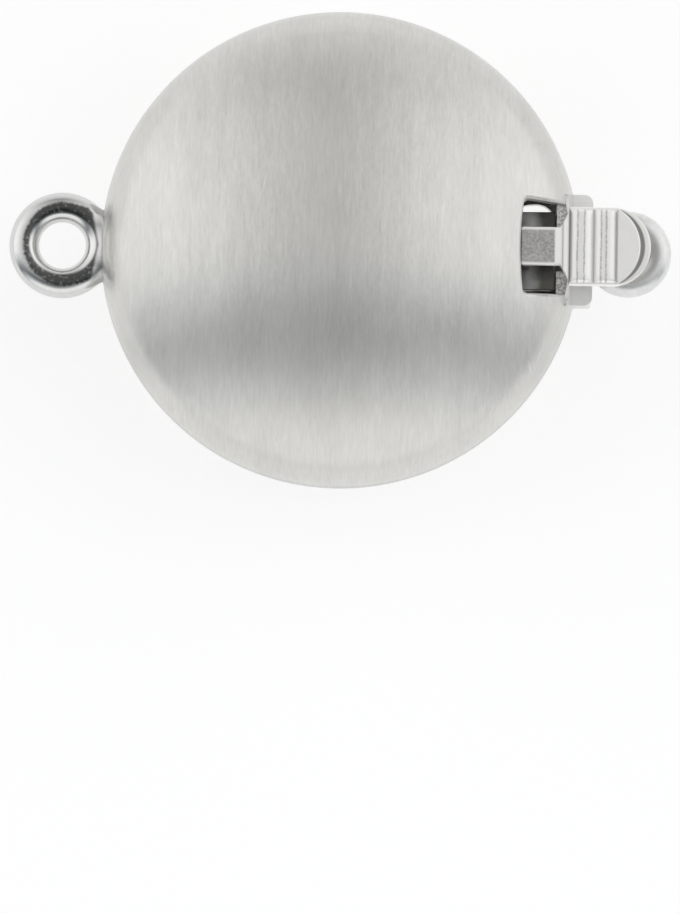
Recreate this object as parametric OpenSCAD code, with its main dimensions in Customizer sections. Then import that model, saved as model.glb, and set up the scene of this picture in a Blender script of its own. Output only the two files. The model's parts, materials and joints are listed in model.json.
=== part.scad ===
// Box clasp for a necklace: a flattened hollow ball with an eye ring on one
// side and, on the other, a folded spring tongue with a thumb tab and a ring.
// It lies on its back dome. X runs from the eye ring to the tongue, Z is up.
// Inside the modules Z is counted from the middle plane of the ball.

/* [Case] */
// Diameter of the round case
case_d = 15; // [14:0.5:17]
// Thickness of the case from dome to dome
case_t = 7.5; // [7:0.25:8]
// Radius of the round rim between the two domes
rim_r = 2; // [1.8:0.1:2.3]
// Thickness of the sheet metal
sheet_t = 0.4; // [0.3:0.05:0.5]

/* [Eye ring] */
// Thickness of the eye ring's wire
eye_wire_d = 0.94; // [0.8:0.02:1.1]
// Diameter of the eye ring at the middle of its wire
eye_ring_d = 2.39; // [2.2:0.01:2.6]
// How far the eye ring's wire is let into the rim
eye_seat = 0.465; // [0.3:0.005:0.6]

/* [Window] */
// Length of the window in the front dome
window_l = 1.46; // [1.3:0.02:1.5]
// Width of the window
window_w = 2.88; // [2.8:0.02:3]
// Distance of the window's outer edge from the middle of the case
window_end = 7.07; // [7.05:0.01:7.12]
// Radius of the window's bowed inner edge
window_bow_r = 10; // [9:1:10]
// Corner radius of the window
window_corner_r = 0.15; // [0.1:0.01:0.25]
// Length of the opening in the back dome
back_l = 1.42; // [1.3:0.02:1.8]
// Width of the opening in the back dome
back_w = 3.4; // [3:0.02:3.6]
// Distance of the back opening's outer edge from the middle of the case
back_end = 6.72; // [6.6:0.02:6.72]
// Corner radius of the back opening
back_corner_r = 0.62; // [0.4:0.02:0.64]

/* [Mouth sleeve] */
// Distance of the sleeve's inner end from the middle of the case
sleeve_start = 6.75; // [6.74:0.01:6.8]
// Distance of the sleeve's open end from the middle of the case
sleeve_end = 7.88; // [7.7:0.02:8.2]
// Outer width of the sleeve's front wall
sleeve_w = 3.48; // [3.4:0.02:3.6]
// Outer width of the sleeve's back wall
sleeve_back_w = 3.24; // [3.16:0.02:3.4]
// Outer height of the sleeve
sleeve_h = 2; // [1.9:0.02:2.04]
// Wall thickness of the sleeve
sleeve_wall = 0.3; // [0.26:0.01:0.32]
// Radius of the sleeve's outer corners
sleeve_corner_r = 0.28; // [0.1:0.02:0.3]
// Width of the slot in the sleeve's front wall and in the case's rim
slot_w = 1.36; // [1.32:0.02:1.6]

/* [Tongue] */
// Width of the two leaves
leaf_w = 2.46; // [2.3:0.02:2.5]
// Thickness of the two leaves
leaf_t = 0.3; // [0.25:0.01:0.32]
// Distance of the fold's axis from the middle of the case
fold_x = 1.3; // [1:0.1:2]
// Outer radius of the fold
fold_r = 0.35; // [0.34:0.01:0.38]
// Play between the leaves and the sleeve's walls
play = 0.05; // [0.04:0.01:0.08]
// Thickness of the tongue ring's wire
ring_wire_d = 0.8; // [0.7:0.02:0.9]
// Diameter of the tongue ring at the middle of its wire
ring_d = 1.91; // [1.8:0.01:2]

/* [Thumb tab] */
// Width of the narrow foot
foot_w = 1.2; // [1:0.02:1.24]
// Thickness of the foot's bent strip
foot_t = 0.3; // [0.25:0.01:0.32]
// Height of the foot's top over the middle plane
foot_z = 2.05; // [2.02:0.01:2.15]
// Width of the ribbed pad
pad_w = 2.46; // [2.4:0.02:2.48]
// Distance from the middle of the case to where the foot begins to widen
riser_start = 6.85; // [6.8:0.01:6.9]
// Distance of the pad's inner edge from the middle of the case
pad_start = 7.15; // [7.1:0.01:7.2]
// Length of the pad's smooth end, past the ribs
pad_end_l = 1.02; // [0.95:0.01:1.1]
// Radius of the pad's round end
pad_end_r = 1.24; // [1.24:0.02:1.4]
// Width of the sheet's edge beside the ribs
pad_edge = 0.1; // [0.05:0.01:0.15]
// Width of the sheet's rim past the raised smooth end
pad_rim = 0.32; // [0.2:0.02:0.4]
// Radius of the raised smooth end
boss_r = 1.3; // [1.24:0.02:1.4]
// Distance from rib to rib
rib_pitch = 0.75; // [0.7:0.01:0.8]
// Number of ribs before the smooth end of the pad
rib_count = 2; // [1:1:3]
// Width of the groove between two ribs
groove_w = 0.12; // [0.08:0.01:0.2]
// Height of the ribs over the grooves
rib_h = 0.17; // [0.1:0.01:0.2]

/* [Hidden] */
$fn = 96;

case_r = case_d / 2;
mid_z = case_t / 2;
// A gap that keeps two pieces of one body apart
gap = 0.02;

// The eye ring and the tongue ring reach equally far from the middle
eye_x = -(case_r - eye_seat + (eye_ring_d + eye_wire_d) / 2);
reach = -eye_x + (eye_ring_d + eye_wire_d) / 2;
ring_x = reach - (ring_d + ring_wire_d) / 2;

// The lower leaf lies just over the sleeve's back wall, and the spring leaf's
// tip stands just under its front wall
leaf_bottom = play - sleeve_h / 2 + sleeve_wall;
fold_z = leaf_bottom + fold_r;
tip_x = sleeve_start - 0.05;
tip_z = sleeve_h / 2 - sleeve_wall - play;
tip_run = norm([tip_x - fold_x, tip_z - fold_z]);
leaf_rise = atan2(tip_z - fold_z, tip_x - fold_x) - asin(fold_r / tip_run);
leaf_l = sqrt(tip_run * tip_run - fold_r * fold_r);
// Gap at the fold, where the tongue and the spring leaf meet
fold_gap = 0.03;

// The foot's post stands at the inner edge of the window
post_x = window_end - window_l + 0.06;
flange_l = 0.6;
bend_r = 0.1;
pad_t = 0.3;
pad_z = foot_z + 0.05;
rib_w = rib_pitch - groove_w;
rib_r = (rib_w * rib_w / 4 + rib_h * rib_h) / (2 * rib_h);
boss_h = rib_h - 0.03;
boss_start = pad_start + rib_count * rib_pitch;
pad_end = boss_start + pad_end_l;

// The right half of a four-centre oval, half a wide and half b thick,
// whose rim has radius r: crown arcs run smoothly into the round rim
module half_oval(a, b, r) {
    crown_r = (a * a - 2 * a * r + b * b) / (2 * (b - r));
    join_x = crown_r * (a - r) / (crown_r - r);
    intersection() {
        translate([0, b - crown_r]) circle(crown_r);
        translate([0, crown_r - b]) circle(crown_r);
        translate([0, -b]) square([join_x, 2 * b]);
    }
    intersection() {
        translate([a - r, 0]) circle(r);
        translate([a - r, -r]) square([2 * r, 2 * r]);
    }
}

module flat_ball(shrink) {
    rotate_extrude($fn = 180)
        half_oval(case_r - shrink, case_t / 2 - shrink, rim_r - shrink);
}

module wire_ring(ring_d, wire_d) {
    rotate_extrude() translate([ring_d / 2, 0]) circle(d = wire_d, $fn = 48);
}

module block(x0, x1, w, z0, z1) {
    translate([x0, -w / 2, z0]) cube([x1 - x0, w, z1 - z0]);
}

// A block whose sides lean in from width w1 at z1 to width w0 at z0
module leaning_block(x0, x1, w0, w1, z0, z1) {
    translate([x0, 0, 0]) rotate([90, 0, 90]) linear_extrude(x1 - x0)
        polygon([[-w0 / 2, z0], [w0 / 2, z0], [w1 / 2, z1], [-w1 / 2, z1]]);
}

// A rectangle with four round corners, from x0 to x1
module round_rect(x0, x1, w, r) {
    translate([x0 + r, -w / 2]) square([x1 - x0 - 2 * r, w]);
    translate([x0, r - w / 2]) square([x1 - x0, w - 2 * r]);
    for (x = [x0 + r, x1 - r], y = [r - w / 2, w / 2 - r])
        translate([x, y]) circle(r, $fn = 32);
}

// The window's outline: a round-cornered rectangle with its inner edge bowed
// towards the middle
module window_outline() {
    start = window_end - window_l;
    inset = window_w / 2 - window_corner_r;
    bow = window_bow_r - sqrt(window_bow_r * window_bow_r - inset * inset);
    round_rect(start + bow, window_end, window_w, window_corner_r);
    intersection() {
        translate([start + window_bow_r, 0]) circle(window_bow_r, $fn = 180);
        translate([start - 1, -inset]) square([window_l, 2 * inset]);
    }
}

// Two soldered domes with the window, the back opening and the mouth, and
// the eye ring soldered to the rim
module case() {
    color("silver") translate([0, 0, mid_z]) difference() {
        union() {
            flat_ball(0);
            translate([eye_x, 0, 0]) wire_ring(eye_ring_d, eye_wire_d);
        }
        flat_ball(sheet_t);
        linear_extrude(case_t) window_outline();
        mirror([0, 0, 1]) linear_extrude(case_t)
            round_rect(back_end - back_l, back_end, back_w, back_corner_r);
        leaning_block(sleeve_start - 0.5, case_d, sleeve_back_w + 2 * gap,
                      sleeve_w + 2 * gap, -sleeve_h / 2 - gap, sleeve_h / 2 + gap);
        block(window_end - 0.5, case_d, slot_w, 0, case_t);
    }
}

// The box-shaped sleeve in the case's mouth, slotted in front for the foot
module mouth_sleeve() {
    color("gainsboro") translate([0, 0, mid_z]) difference() {
        intersection() {
            leaning_block(sleeve_start, sleeve_end, sleeve_back_w, sleeve_w,
                          -sleeve_h / 2, sleeve_h / 2);
            translate([0, 0, -sleeve_h / 2]) linear_extrude(sleeve_h)
                round_rect(sleeve_start - 1, sleeve_end, sleeve_w, sleeve_corner_r);
        }
        leaning_block(0, case_d, sleeve_back_w - 2 * sleeve_wall,
                      sleeve_w - 2 * sleeve_wall,
                      sleeve_wall - sleeve_h / 2, sleeve_h / 2 - sleeve_wall);
        block(0, case_d, slot_w, 0, sleeve_h);
    }
}

// Places its children on the spring leaf: X along the leaf from the fold,
// Z square to it from the fold's axis
module along_leaf() {
    translate([fold_x, 0, fold_z]) rotate([0, -leaf_rise, 0]) children();
}

// The lower leaf with the fold, and the ring soldered in a narrow seat that
// comes out of the sleeve
module tongue() {
    seat_x = ring_x - ring_d / 2;
    color("lightgray") translate([0, 0, mid_z]) {
        block(fold_x, sleeve_end - 0.02, leaf_w, leaf_bottom, leaf_bottom + leaf_t);
        difference() {
            translate([fold_x, 0, fold_z]) rotate([90, 0, 0])
                cylinder(h = leaf_w, r = fold_r, center = true);
            translate([fold_x, 0, fold_z]) rotate([90, 0, 0])
                cylinder(h = 2 * leaf_w, r = fold_r - leaf_t, center = true, $fn = 32);
            block(fold_x, case_r, 2 * leaf_w, fold_z, sleeve_h);
            along_leaf() block(-fold_gap, case_r, 2 * leaf_w, 0, sleeve_h);
        }
        block(sleeve_end - 0.3, seat_x + 0.1, foot_w, leaf_bottom, 0);
        translate([ring_x, 0, 0]) wire_ring(ring_d, ring_wire_d);
    }
}

// The upper leaf, which springs up from the fold to the sleeve
module spring_leaf() {
    color("darkgray") translate([0, 0, mid_z])
        along_leaf() block(0, leaf_l, leaf_w, fold_r - leaf_t, fold_r);
}

// The foot seen from the side: a flange's post bent over into a flat strip
module foot_profile() {
    translate([post_x, 0]) square([foot_t, foot_z - bend_r]);
    translate([post_x + bend_r, foot_z - foot_t]) square([pad_start - post_x, foot_t]);
    translate([post_x + bend_r, foot_z - bend_r]) circle(bend_r, $fn = 32);
}

// The part from x0 on of a strip of width w that ends in an arc of radius r
module round_end(x0, end, w, r) {
    intersection() {
        translate([end - r, 0]) circle(r);
        translate([x0, -w / 2]) square([end - x0, w]);
    }
}

// The pad's outline: straight sides and a round end
module pad_outline() {
    round_x = pad_end - pad_end_r;
    round_end(round_x, pad_end, pad_w, pad_end_r);
    translate([pad_start - 0.01, -pad_w / 2]) square([round_x - pad_start + 0.02, pad_w]);
}

// One half-round rib across the pad
module rib(x) {
    rib_l = pad_w - 2 * pad_edge;
    intersection() {
        translate([x + rib_pitch / 2, 0, pad_z + rib_h - rib_r]) rotate([90, 0, 0])
            cylinder(h = rib_l, r = rib_r, center = true);
        block(x, x + rib_pitch, rib_l, pad_z - 0.05, case_t);
    }
}

// The thumb tab: flange, post and strip, a riser that widens, and the pad
// with its ribs and its smooth round end
module thumb_tab() {
    base = (post_x - fold_x) / cos(leaf_rise);
    shoulder = pad_w / 2 - pad_edge;
    color("whitesmoke") translate([0, 0, mid_z]) {
        along_leaf() block(base - flange_l, base + foot_t, foot_w,
                           fold_r + gap, fold_r + gap + foot_t);
        difference() {
            rotate([90, 0, 0]) linear_extrude(foot_w, center = true) foot_profile();
            along_leaf() block(0, case_d, 2 * foot_w, -sleeve_h, fold_r + gap);
        }
        translate([0, 0, pad_z - pad_t]) linear_extrude(pad_t) {
            polygon([[riser_start, -foot_w / 2], [pad_start, -shoulder],
                     [pad_start, shoulder], [riser_start, foot_w / 2]]);
            pad_outline();
        }
        for (i = [0 : rib_count - 1]) rib(pad_start + i * rib_pitch);
        translate([0, 0, pad_z - 0.05]) linear_extrude(boss_h + 0.05)
            round_end(boss_start, pad_end - pad_rim, 2 * shoulder, boss_r);
    }
}

case();
mouth_sleeve();
tongue();
spring_leaf();
thumb_tab();
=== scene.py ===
"""Box clasp for a necklace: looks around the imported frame.

Shapes are worked out in millimetres, with height counted from the middle
plane of the round case, and become metres in the frame's place when a piece
is made.
"""

import json
import math

import bmesh
import bpy
import numpy as np
from mathutils import Matrix, Vector
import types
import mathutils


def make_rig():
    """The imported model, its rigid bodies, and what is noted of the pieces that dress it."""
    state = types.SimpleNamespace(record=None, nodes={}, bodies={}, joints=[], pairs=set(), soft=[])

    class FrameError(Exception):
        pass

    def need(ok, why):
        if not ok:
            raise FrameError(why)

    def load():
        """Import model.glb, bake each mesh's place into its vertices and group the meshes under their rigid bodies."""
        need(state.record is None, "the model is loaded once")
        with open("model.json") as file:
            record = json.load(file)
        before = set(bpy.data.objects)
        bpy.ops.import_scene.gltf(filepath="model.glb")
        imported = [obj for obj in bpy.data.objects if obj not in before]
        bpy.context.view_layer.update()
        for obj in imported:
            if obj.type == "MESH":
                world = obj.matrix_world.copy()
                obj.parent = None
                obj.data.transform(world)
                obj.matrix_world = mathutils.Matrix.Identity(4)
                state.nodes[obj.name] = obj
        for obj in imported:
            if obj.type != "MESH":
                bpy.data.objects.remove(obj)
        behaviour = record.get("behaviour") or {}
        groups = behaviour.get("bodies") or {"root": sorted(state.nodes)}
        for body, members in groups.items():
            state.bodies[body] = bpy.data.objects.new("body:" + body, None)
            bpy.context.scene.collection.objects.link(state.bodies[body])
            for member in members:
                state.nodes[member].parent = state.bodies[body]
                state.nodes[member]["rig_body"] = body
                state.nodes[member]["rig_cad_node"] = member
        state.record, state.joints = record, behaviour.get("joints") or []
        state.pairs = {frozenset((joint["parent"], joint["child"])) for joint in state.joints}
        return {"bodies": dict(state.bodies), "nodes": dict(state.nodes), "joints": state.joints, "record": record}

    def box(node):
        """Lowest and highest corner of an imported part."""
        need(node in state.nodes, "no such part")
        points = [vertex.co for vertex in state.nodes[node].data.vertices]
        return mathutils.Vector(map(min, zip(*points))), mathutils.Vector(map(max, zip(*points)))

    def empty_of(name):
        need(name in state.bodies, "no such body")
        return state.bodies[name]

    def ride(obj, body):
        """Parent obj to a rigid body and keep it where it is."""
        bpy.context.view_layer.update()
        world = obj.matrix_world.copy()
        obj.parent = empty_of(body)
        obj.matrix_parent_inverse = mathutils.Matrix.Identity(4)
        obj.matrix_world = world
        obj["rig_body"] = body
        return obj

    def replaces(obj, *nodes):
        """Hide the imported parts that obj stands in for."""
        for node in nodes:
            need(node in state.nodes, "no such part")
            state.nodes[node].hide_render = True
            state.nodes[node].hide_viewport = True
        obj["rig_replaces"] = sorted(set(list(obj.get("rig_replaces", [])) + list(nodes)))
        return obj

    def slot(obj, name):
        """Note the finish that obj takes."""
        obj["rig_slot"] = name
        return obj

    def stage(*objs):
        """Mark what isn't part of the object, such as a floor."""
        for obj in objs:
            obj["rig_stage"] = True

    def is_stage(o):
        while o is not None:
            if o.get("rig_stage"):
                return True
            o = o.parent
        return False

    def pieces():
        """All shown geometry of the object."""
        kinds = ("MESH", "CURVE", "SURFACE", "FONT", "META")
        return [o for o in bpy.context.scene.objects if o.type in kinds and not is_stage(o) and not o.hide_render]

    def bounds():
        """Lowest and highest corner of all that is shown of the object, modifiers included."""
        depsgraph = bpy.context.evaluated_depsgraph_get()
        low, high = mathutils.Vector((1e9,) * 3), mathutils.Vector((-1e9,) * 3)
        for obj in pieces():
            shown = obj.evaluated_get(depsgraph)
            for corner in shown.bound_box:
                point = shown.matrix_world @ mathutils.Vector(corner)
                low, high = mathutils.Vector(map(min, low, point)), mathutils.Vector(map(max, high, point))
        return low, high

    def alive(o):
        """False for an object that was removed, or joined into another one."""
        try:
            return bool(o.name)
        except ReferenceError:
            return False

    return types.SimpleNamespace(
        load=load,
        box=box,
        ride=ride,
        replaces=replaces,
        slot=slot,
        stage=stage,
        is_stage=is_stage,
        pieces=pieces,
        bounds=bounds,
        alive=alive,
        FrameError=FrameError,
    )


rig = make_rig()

bl_info = {
    "name": "Box Clasp",
    "version": (1, 0, 0),
    "blender": (4, 5, 0),
    "location": "3D View > Sidebar > Clasp",
    "description": "Makes a round silver box clasp, piece by piece, and a light tent for it",
    "category": "Object",
}

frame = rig.load()
CAD_BOX = [list(corner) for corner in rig.bounds()]

MM = 0.001
MID_Z = (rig.box("case")[0].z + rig.box("case")[1].z) / 2 / MM
CASE_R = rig.box("case")[1].y / MM

# Sizes and places below are in millimetres and follow the frame's sizes.
# The rings: the middle's X, the radius and the wire's radius
EYE_X, EYE_R, EYE_WIRE_R = -8.70, 1.195, 0.47
TONGUE_X, TONGUE_R, TONGUE_WIRE_R = 9.01, 0.955, 0.40

# The leaves: the fold's axis, its outer radius and the upper leaf's rise
FOLD_X, FOLD_Z, FOLD_R, LEAF_RISE = 1.3, -0.30, 0.35, math.radians(6.32)
LEAF_W, LEAF_END = 2.46, 7.84

# The ring's seat on the lower leaf: its ends and width
SEAT_START, SEAT_END, SEAT_W = 7.58, 8.20, 1.2

# The thumb tab: the post and strip, the sheet, the ribs and the raised end
POST_X, STRIP_TOP, PAD_Z = 5.63, 2.05, 2.10
PAD_START, PAD_W, PAD_END, PAD_R = 7.15, 2.46, 9.67, 1.24
RIB_START, RIB_LENGTH, RIB_SINK = 7.51, 2.3, 0.05
BOSS_X, BOSS_W, BOSS_END, BOSS_R = 8.64, 2.28, 9.34, 1.32

# The radius of the sleeve's round corners
SLEEVE_R = 0.24

# The camera's tilt and roll in degrees, and where the clasp lies in its picture
CAMERA_TILT, CAMERA_ROLL = 6.6, 0.93
PICTURE_W, PICTURE_H, PX_PER_MM = 680, 914, 31.93
CLASP_PX = (340.3, 250.0)


# ---------------------------------------------------------------- node trees


class Num:
    """A number socket that Python's own operators work on."""

    def __init__(self, tree, socket):
        self.tree, self.socket = tree, socket

    def call(self, operation, *terms, clamp=False):
        """One Math node; the terms are numbers or other Nums."""
        settings = {"operation": operation, "use_clamp": clamp}
        node = self.tree.add("ShaderNodeMath", settings, *terms)
        return Num(self.tree, node.outputs[0])

    def __add__(self, other):
        return self.call("ADD", self, other)

    def __radd__(self, other):
        return self.call("ADD", other, self)

    def __sub__(self, other):
        return self.call("SUBTRACT", self, other)

    def __rsub__(self, other):
        return self.call("SUBTRACT", other, self)

    def __mul__(self, other):
        return self.call("MULTIPLY", self, other)

    def __rmul__(self, other):
        return self.call("MULTIPLY", other, self)

    def __truediv__(self, other):
        return self.call("DIVIDE", self, other)

    def __pow__(self, other):
        return self.call("POWER", self, other)

    def __neg__(self):
        return self.call("MULTIPLY", self, -1.0)

    def __abs__(self):
        return self.call("ABSOLUTE", self)

    def sin(self):
        return self.call("SINE", self)

    def asin(self):
        return self.call("ARCSINE", self)

    def atan2(self, other):
        return self.call("ARCTAN2", self, other)

    def min(self, other):
        return self.call("MINIMUM", self, other)

    def max(self, other):
        return self.call("MAXIMUM", self, other)

    def clamp(self):
        return self.call("ADD", self, 0.0, clamp=True)

    def smooth(self):
        """A soft S-curve from 0 to 1, as the value goes from 0 to 1."""
        t = self.clamp()
        return t * t * (3.0 - 2.0 * t)

    def rise(self, start, over):
        """0 up to start, rising softly to 1 over a length."""
        return ((self - start) / over).smooth()

    def fall(self, end, over):
        """1 at first, falling softly to 0 at the end over a length."""
        return ((end - self) / over).smooth()

    def sway(self, size):
        """A noise's swing about 0, with its full range made size."""
        return (self - 0.5) * size

    def contrast(self, gain):
        """A noise spread about its middle and kept from 0 to 1."""
        return ((self - 0.5) * gain + 0.5).clamp()

    def band(self, centre, half, soft):
        """1 within half of the centre, falling softly to 0 over soft."""
        return ((half + soft / 2 - abs(self - centre)) / soft).smooth()


class Tree:
    """Adds nodes to one node tree."""

    def __init__(self, node_tree, clear=True):
        self.nodes, self.links = node_tree.nodes, node_tree.links
        if clear:
            self.nodes.clear()

    def add(self, kind, settings=None, *values, **named):
        """A node of a kind: its settings first, then its sockets.

        values go to the sockets in order, and named ones by the socket's
        name with _ for a space. A value is a number, a tuple, a socket, a
        Num or a node, which stands for its first output.
        """
        node = self.nodes.new(kind)
        for key, value in (settings or {}).items():
            setattr(node, key, value)
        for socket, value in zip(node.inputs, values):
            self.feed(socket, value)
        for key, value in named.items():
            self.feed(node.inputs[key.replace("_", " ")], value)
        return node

    def feed(self, socket, value):
        """Links a socket to its source, or sets its value."""
        if value is None:
            return
        if isinstance(value, Num):
            value = value.socket
        elif isinstance(value, bpy.types.Node):
            value = value.outputs[0]
        if isinstance(value, bpy.types.NodeSocket):
            self.links.new(value, socket)
        else:
            socket.default_value = value

    def num(self, socket):
        return Num(self, socket)

    def split(self, vector):
        """The three numbers of a vector."""
        node = self.add("ShaderNodeSeparateXYZ", None, vector)
        return [Num(self, out) for out in node.outputs]

    def join(self, x, y, z):
        return self.add("ShaderNodeCombineXYZ", None, x, y, z)

    def vector(self, operation, *terms):
        """One Vector Math node."""
        node = self.add("ShaderNodeVectorMath", {"operation": operation}, *terms)
        return node.outputs["Value" if operation in ("DOT_PRODUCT", "LENGTH") else 0]

    def reach(self, x, y):
        """How far a place is from 0, 0 in plan."""
        return Num(self, self.vector("LENGTH", self.join(x, y, 0.0)))

    def noise(self, vector, scale, detail=2.0, roughness=0.5):
        """Noise in 3-D, a Num from about 0.2 to 0.8."""
        node = self.add("ShaderNodeTexNoise", None, Vector=vector, Scale=scale,
                        Detail=detail, Roughness=roughness)
        return Num(self, node.outputs[0])

    def blend(self, factor, one, two):
        """A mix of two colours."""
        node = self.add("ShaderNodeMix", {"data_type": "RGBA"})
        self.feed(node.inputs[0], factor)
        colour_a, colour_b = [s for s in node.inputs if s.type == "RGBA"]
        self.feed(colour_a, one)
        self.feed(colour_b, two)
        return next(s for s in node.outputs if s.type == "RGBA")

    def shade(self, factor, colour, low, high):
        """One colour from its low gain to its high one."""
        return self.blend(factor, rgba(colour, low), rgba(colour, high))


def rgba(colour, gain=1.0):
    return (*(min(1.0, part * gain) for part in colour[:3]), 1.0)


# --------------------------------------------------------------- properties


def length(name, description, default, low, high):
    """A length in metres, given here in millimetres."""
    return bpy.props.FloatProperty(
        name=name, description=description, default=default * MM,
        min=low * MM, max=high * MM, subtype="DISTANCE", unit="LENGTH",
        precision=5)


def colour(name, description, default):
    return bpy.props.FloatVectorProperty(
        name=name, description=description, default=default, size=3,
        min=0.0, max=1.0, subtype="COLOR")


def factor(name, description, default, high=1.0):
    return bpy.props.FloatProperty(
        name=name, description=description, default=default, min=0.0,
        max=high, subtype="FACTOR")


class ClaspSizes(bpy.types.PropertyGroup):
    """Sizes of the pieces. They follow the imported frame."""

    sheet: length("Sheet", "Thickness of the case's sheet", 0.4, 0.3, 0.5)
    rim: length("Rim radius", "Radius of the round rim between the domes", 2.0, 1.8, 2.3)
    edge: length("Cut edge", "Softening of the window's cut edge", 0.07, 0.01, 0.1)
    strip: length("Strip", "Thickness of the leaves and of the tab's strip", 0.3, 0.25, 0.32)
    solder: length("Solder", "How far from the case the solder of a ring begins", 0.26, 0.1, 0.8)
    rib_count: bpy.props.IntProperty(
        name="Ribs", description="Number of ribs across the thumb tab",
        default=2, min=1, max=3)
    rib_pitch: length("Rib pitch", "Distance from rib to rib", 0.753, 0.6, 0.9)
    rib_width: length("Rib width", "Width of one rib", 0.72, 0.4, 0.75)
    rib_height: length("Rib height", "Height of a rib over the tab's sheet", 0.17, 0.1, 0.2)


class ClaspFinish(bpy.types.PropertyGroup):
    """Colours and finishes of the metals."""

    case_colour: colour("Case", "Colour of the brushed case", (0.706, 0.697, 0.669))
    wire_colour: colour("Wire", "Colour of the rings' wire", (0.64, 0.64, 0.634))
    tab_colour: colour("Thumb tab", "Colour of the thumb tab", (0.97, 0.955, 0.93))
    strip_colour: colour("Leaves", "Colour of the leaves inside the case", (0.82, 0.82, 0.80))
    brush: factor("Brush depth", "How strongly the brush lines turn the light", 0.34)
    case_rough: factor("Case roughness", "Roughness of the brushed case", 0.3)
    case_metal: factor("Case metal", "Share of mirror-like metal on the satin case", 0.6)
    wire_rough: factor("Wire roughness", "Roughness of the eye ring's polish", 0.17)
    satin_rough: factor("Satin roughness", "Roughness of the tongue's ring", 0.32)


class ClaspStudio(bpy.types.PropertyGroup):
    """The light tent, floor and camera."""

    tent: factor("Tent", "Brightness of the light tent", 1.3, 3.0)
    gap: factor("Gap", "How much darker the long gap in the tent is", 0.844)
    front: factor("Front panel", "How much darker the front panel is", 0.795)
    back: factor("Back panel", "How much darker the back panel is", 0.201)
    floor_colour: colour("Floor", "Colour of the floor", (0.5, 0.5, 0.5))
    floor_glow: factor("Floor glow", "Light that comes through the floor", 0.61, 2.0)
    distance: bpy.props.FloatProperty(
        name="Camera distance", description="From the clasp's middle to the camera",
        default=0.35, min=0.1, max=1.0, subtype="DISTANCE", unit="LENGTH")


GROUPS = {"clasp_sizes": ClaspSizes, "clasp_finish": ClaspFinish, "clasp_studio": ClaspStudio}


# ------------------------------------------------------------------- meshes


def link(name, mesh):
    piece = bpy.data.objects.new(name, mesh)
    bpy.context.scene.collection.objects.link(piece)
    return piece


def mesh_from(name, verts, faces):
    """A mesh from points in millimetres over the middle plane."""
    mesh = bpy.data.meshes.new(name)
    places = (np.asarray(verts, float) + (0.0, 0.0, MID_Z)) * MM
    mesh.from_pydata(places.tolist(), [], [list(f) for f in faces])
    bm = bmesh.new()
    bm.from_mesh(mesh)
    bmesh.ops.remove_doubles(bm, verts=bm.verts, dist=1e-8)
    bmesh.ops.recalc_face_normals(bm, faces=bm.faces)
    bm.to_mesh(mesh)
    bm.free()
    mesh.shade_smooth()
    return mesh


def shape(name, verts, faces):
    return link(name, mesh_from(name, verts, faces))


def weigh_normals(mesh, angle=38.0, known=None):
    """Smooths the shading: at each corner it averages the faces that meet
    under the angle, by area, so flat faces stay flat beside soft edges.

    known maps a face's index to the exact normals of its corners.
    """
    limit = math.cos(math.radians(angle))
    count = len(mesh.polygons)
    normals, areas = np.empty(count * 3), np.empty(count)
    mesh.polygons.foreach_get("normal", normals)
    mesh.polygons.foreach_get("area", areas)
    normals = normals.reshape(-1, 3)
    around = [[] for _ in mesh.vertices]
    for face in mesh.polygons:
        for v in face.vertices:
            around[v].append(face.index)
    result = [None] * len(mesh.loops)
    for face in mesh.polygons:
        if known is not None and face.index in known:
            for loop, normal in zip(face.loop_indices, known[face.index]):
                result[loop] = normal
            continue
        own = normals[face.index]
        for loop, v in zip(face.loop_indices, face.vertices):
            near = around[v]
            kept = normals[near] @ own > limit
            total = (normals[near] * areas[near][:, None])[kept].sum(axis=0)
            result[loop] = (total / (np.linalg.norm(total) or 1.0)).tolist()
    mesh.normals_split_custom_set(result)


def rings_mesh(rings, closed=True):
    """Points and faces of a tube through rings of equal point counts.

    A ring of one repeated point becomes a pole when doubles are merged, and
    a tube that ends in poles needs no closing faces.
    """
    n = len(rings[0])
    verts = np.concatenate(rings)
    faces = []
    for k in range(len(rings) - 1):
        for i in range(n):
            j = (i + 1) % n
            faces.append((k * n + i, k * n + j, (k + 1) * n + j, (k + 1) * n + i))
    if closed:
        faces.append(tuple(range(n - 1, -1, -1)))
        faces.append(tuple(range((len(rings) - 1) * n, len(rings) * n)))
    return verts, faces


def outward(outline):
    """Unit normals of a closed outline that runs anticlockwise."""
    ahead = np.roll(outline, -1, axis=0) - outline
    behind = outline - np.roll(outline, 1, axis=0)
    ahead /= np.linalg.norm(ahead, axis=1)[:, None]
    behind /= np.linalg.norm(behind, axis=1)[:, None]
    tangent = ahead + behind
    cosine = np.linalg.norm(tangent, axis=1) / 2
    tangent /= np.linalg.norm(tangent, axis=1)[:, None]
    return np.stack([tangent[:, 1], -tangent[:, 0]], axis=1) / np.clip(cosine, 0.5, 1)[:, None]


def without_doubles(outline):
    """The outline without points that repeat the one before."""
    outline = np.asarray(outline, float)
    step = np.linalg.norm(outline - np.roll(outline, 1, axis=0), axis=1)
    return outline[step > 1e-6]


def arc(cx, cy, r, start, end, steps):
    """Points on an arc, angles in degrees."""
    a = np.radians(np.linspace(start, end, steps + 1))
    return np.stack([cx + r * np.cos(a), cy + r * np.sin(a)], axis=1)


def stretch(start, end, count):
    """Points on a straight line in plan, between its ends."""
    return np.linspace(start, end, count + 2)[1:-1]


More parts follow.
